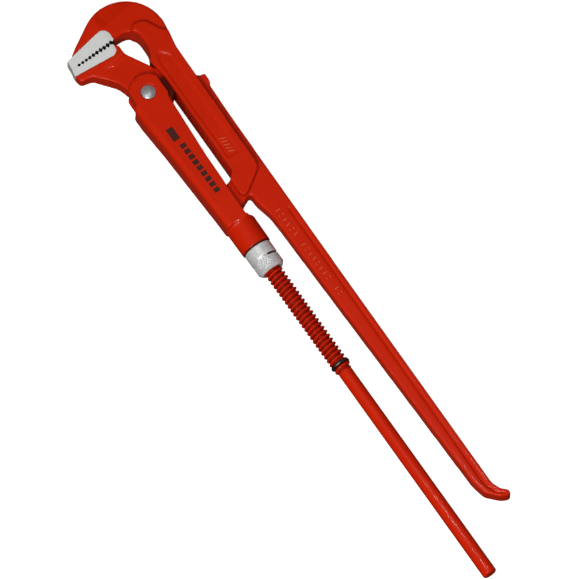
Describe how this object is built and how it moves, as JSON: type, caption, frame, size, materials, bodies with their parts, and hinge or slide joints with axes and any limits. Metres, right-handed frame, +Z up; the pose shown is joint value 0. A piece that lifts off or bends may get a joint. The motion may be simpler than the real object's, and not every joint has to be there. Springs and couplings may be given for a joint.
{
  "type": "pipe wrench",
  "caption": "Swedish-pattern pipe wrench with 90 degree jaws: a toothed hook jaw, a lower jaw on a sliding shell, an adjusting nut on a screw handle and a hinged beam handle.",
  "frame": {"origin": "centre of the footprint, at the face the wrench lies on", "axes": "+X along the screw towards the handle ends, +Y across the tool towards the beam handle, +Z up out of the flat side"},
  "size_m": [0.427, 0.069, 0.02],
  "materials": {
    "red_paint": "glossy vermilion enamel over forged steel",
    "tooth_steel": "ground bare steel",
    "rivet_steel": "turned bare steel, slightly domed",
    "nut_zinc": "bright zinc plate with a knurled band",
    "dark_steel": "blued spring steel"
  },
  "bodies": {
    "hook": {"hook_jaw": "red_paint", "upper_jaw_pad": "tooth_steel", "handle_pivot_pin": "red_paint", "leaf_spring": "dark_steel", "spring_rivet": "red_paint"},
    "beam": {"beam_handle": "red_paint", "rod_eye_pin": "dark_steel"},
    "screw": {"threaded_handle": "red_paint", "thread_stop_ring": "dark_steel"},
    "sleeve": {"shell": "red_paint", "jaw_rivet": "rivet_steel", "nut_snap_ring": "dark_steel"},
    "nut": {"adjusting_nut": "nut_zinc"},
    "jaw": {"lower_jaw": "red_paint", "lower_jaw_pad": "tooth_steel"}
  },
  "joints": [
    {"name": "beam_swing", "type": "hinge", "parent": "hook", "child": "beam", "pos_m": [-0.07963, 0.01655, 0.01], "axis": [0, 0, 1], "range_deg": [0, 4]},
    {"name": "rod_swing", "type": "hinge", "parent": "beam", "child": "screw", "pos_m": [-0.07063, -0.00445, 0.01], "axis": [0, 0, 1], "range_deg": [-4, 0.5]},
    {"name": "jaw_adjust", "type": "slide", "parent": "screw", "child": "sleeve", "axis": [1, 0, 0], "range_m": [0, 0.058]},
    {"name": "nut_spin", "type": "hinge", "parent": "sleeve", "child": "nut", "pos_m": [-0.02708, -0.00445, 0.01], "axis": [1, 0, 0], "range_deg": [0, 6965]},
    {"name": "jaw_rock", "type": "hinge", "parent": "sleeve", "child": "jaw", "pos_m": [-0.15263, -0.00445, 0.01], "axis": [0, 0, 1], "range_deg": [0, 3]}
  ],
  "couplings": [
    {"joint": "rod_swing", "follows": "beam_swing", "ratio": -1},
    {"joint": "nut_spin", "follows": "jaw_adjust", "rad_per_m": 2094.4}
  ]
}
